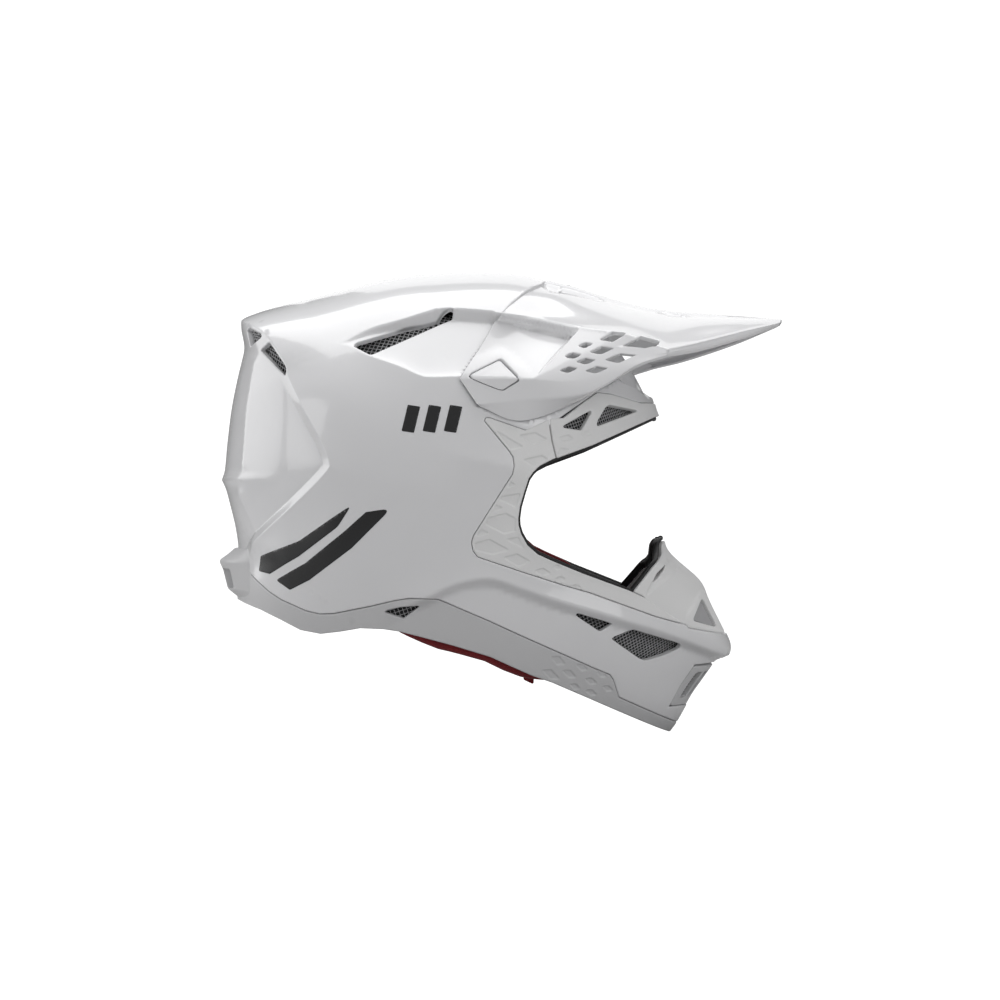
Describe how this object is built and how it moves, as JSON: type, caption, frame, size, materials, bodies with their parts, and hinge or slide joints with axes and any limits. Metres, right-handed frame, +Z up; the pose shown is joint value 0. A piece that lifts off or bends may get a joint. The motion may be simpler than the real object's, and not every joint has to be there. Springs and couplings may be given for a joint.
{
  "type": "motocross helmet",
  "caption": "Full-face off-road helmet with chin bar, tilting peak, screened vents, foam and fabric liner, removable cheek pads and a D-ring chin strap.",
  "frame": {"origin": "centre of the bottom of the bounding box: x is the middle of the length, y is the plane of symmetry, z = 0 is the lowest point of the chin bar", "axes": "+X the way the wearer faces, +Y the wearer's left, +Z up, in the attitude the helmet is worn"},
  "size_m": [0.3826, 0.242, 0.3124],
  "materials": {
    "shell_gloss": "glossy clear coat",
    "trim_satin": "satin, slightly warm white",
    "grey_rubber": "matt",
    "black_rubber": "matt",
    "screen_wire": "woven wire screen",
    "black_plastic": "matt",
    "filter_foam": "open cell foam",
    "eps_foam": "moulded beads",
    "slip_film": "smooth",
    "red_fabric": "brushed knit",
    "black_webbing": "woven",
    "black_fabric": "padded knit",
    "steel": "zinc plated"
  },
  "bodies": {
    "helmet": {"outer_shell": "shell_gloss", "base_trim": "trim_satin", "rear_exhaust": "trim_satin", "brow_vent_frame": "trim_satin", "eyeport_trim_right": "trim_satin", "eyeport_trim_left": "trim_satin", "nose_guard": "trim_satin", "nose_guard_insert_right": "grey_rubber", "nose_guard_insert_left": "grey_rubber", "eyeport_seal": "black_rubber", "crown_vent_screen_right": "screen_wire", "crown_vent_screen_left": "screen_wire", "rear_vent_screen_upper_right": "screen_wire", "rear_vent_screen_upper_left": "screen_wire", "rear_vent_screen_lower_right": "screen_wire", "rear_vent_screen_lower_left": "screen_wire", "chin_vent_screen_right": "screen_wire", "chin_vent_screen_left": "screen_wire", "brow_vent_screen_right": "screen_wire", "brow_vent_screen_left": "screen_wire", "base_vent_screen_right": "screen_wire", "base_vent_screen_left": "screen_wire", "mouth_filter": "filter_foam", "foam_liner": "eps_foam", "chin_foam": "eps_foam", "neck_roll": "red_fabric", "cheek_foam_right": "eps_foam", "cheek_foam_left": "eps_foam", "strap_anchor_right": "steel", "strap_anchor_left": "steel", "side_nut_right": "steel", "side_nut_left": "steel", "centre_nut": "steel"},
    "peak": {"peak": "shell_gloss", "peak_side_cap_right": "shell_gloss", "peak_side_cap_left": "shell_gloss"},
    "side_screw_right": {"side_screw_right": "steel"},
    "side_screw_left": {"side_screw_left": "steel"},
    "centre_screw": {"centre_screw": "black_plastic"},
    "mouth_grille": {"mouth_grille": "trim_satin"},
    "cheek_pad_right": {"cheek_pad_right": "red_fabric", "cheek_pull_tab_right": "black_webbing"},
    "cheek_pad_left": {"cheek_pad_left": "red_fabric", "cheek_pull_tab_left": "black_webbing"},
    "chin_strap": {"strap_long": "black_webbing", "strap_short": "black_webbing", "strap_pad_right": "black_fabric", "strap_pad_left": "black_fabric", "strap_snap": "steel"},
    "d_ring_upper": {"d_ring_upper": "steel"},
    "d_ring_lower": {"d_ring_lower": "steel"},
    "liner": {"slip_liner": "slip_film", "comfort_liner": "red_fabric"}
  },
  "joints": [
    {"name": "peak_tilt", "type": "hinge", "parent": "helmet", "child": "peak", "pos_m": [-0.005, 0, 0.23792], "axis": [0, -1, 0], "range_deg": [-1, 6]},
    {"name": "side_screw_right_turn", "type": "hinge", "parent": "helmet", "child": "side_screw_right", "pos_m": [-0.005, -0.11, 0.23792], "axis": [0, -1, 0], "continuous": true},
    {"name": "side_screw_left_turn", "type": "hinge", "parent": "helmet", "child": "side_screw_left", "pos_m": [-0.005, 0.11, 0.23792], "axis": [0, 1, 0], "continuous": true},
    {"name": "centre_screw_turn", "type": "hinge", "parent": "helmet", "child": "centre_screw", "pos_m": [0.0478, 0, 0.29802], "axis": [0.66, 0, 0.7513], "continuous": true},
    {"name": "mouth_grille_release", "type": "slide", "parent": "helmet", "child": "mouth_grille", "axis": [1, 0, 0], "range_m": [0, 0.025]},
    {"name": "cheek_pad_right_release", "type": "slide", "parent": "helmet", "child": "cheek_pad_right", "axis": [0, 0, -1], "range_m": [0, 0.12]},
    {"name": "cheek_pad_left_release", "type": "slide", "parent": "helmet", "child": "cheek_pad_left", "axis": [0, 0, -1], "range_m": [0, 0.12]},
    {"name": "chin_strap_swing", "type": "hinge", "parent": "helmet", "child": "chin_strap", "pos_m": [-0.0526, 0, 0.11312], "axis": [0, 1, 0], "range_deg": [-3, 12]},
    {"name": "d_ring_upper_turn", "type": "hinge", "parent": "chin_strap", "child": "d_ring_upper", "pos_m": [-0.0526, 0.0586, 0.08652], "axis": [1, 0, 0], "range_deg": [-5, 0]},
    {"name": "d_ring_lower_turn", "type": "hinge", "parent": "chin_strap", "child": "d_ring_lower", "pos_m": [-0.0526, 0.0586, 0.08272], "axis": [1, 0, 0], "range_deg": [0, 5]},
    {"name": "slip_liner_turn", "type": "hinge", "parent": "helmet", "child": "liner", "pos_m": [-0.0399, 0, 0.17832], "axis": [0, 0, 1], "range_deg": [-2.5, 2.5]}
  ]
}
